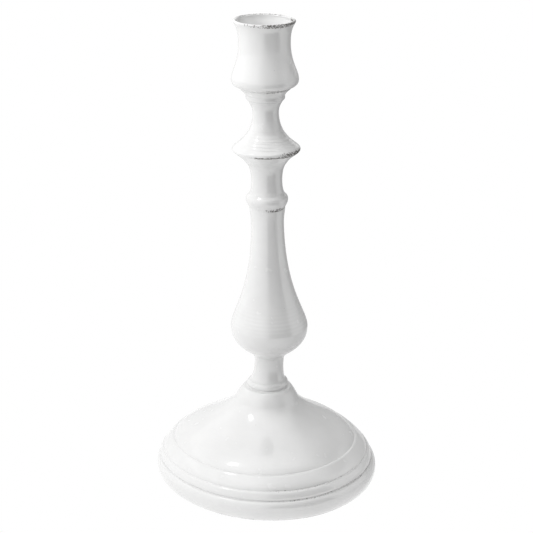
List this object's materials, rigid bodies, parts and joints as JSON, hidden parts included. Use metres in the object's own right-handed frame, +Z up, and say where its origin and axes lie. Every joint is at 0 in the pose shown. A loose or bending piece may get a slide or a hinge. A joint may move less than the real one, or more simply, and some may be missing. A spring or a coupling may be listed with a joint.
{
  "type": "candlestick",
  "caption": "Tall glazed earthenware candlestick: tulip cup and drip collar on a pear-shaped turned stem, over a wide hollow bell foot with moulded edge.",
  "frame": {"origin": "centre of the foot, at the level of the surface it stands on", "axes": "+Z up the stem, towards the candle cup; the object is round about Z, so X and Y are free"},
  "size_m": [0.1334, 0.1334, 0.28],
  "materials": {
    "white_glaze": "gloss",
    "dark_clay": "matte"
  },
  "bodies": {
    "root": {"foot": "white_glaze", "foot_ring": "white_glaze", "lower_neck": "white_glaze", "baluster": "white_glaze", "bead_ring": "white_glaze", "upper_neck": "white_glaze", "drip_collar": "white_glaze", "cup_neck": "white_glaze", "candle_cup": "white_glaze", "slip_foot_to_ring": "dark_clay", "slip_ring_to_lower_neck": "dark_clay", "slip_lower_neck_to_baluster": "dark_clay", "slip_baluster_to_bead": "dark_clay", "slip_bead_to_upper_neck": "dark_clay", "slip_upper_neck_to_collar": "dark_clay", "slip_collar_to_cup_neck": "dark_clay", "slip_cup_neck_to_cup": "dark_clay"}
  },
  "joints": []
}
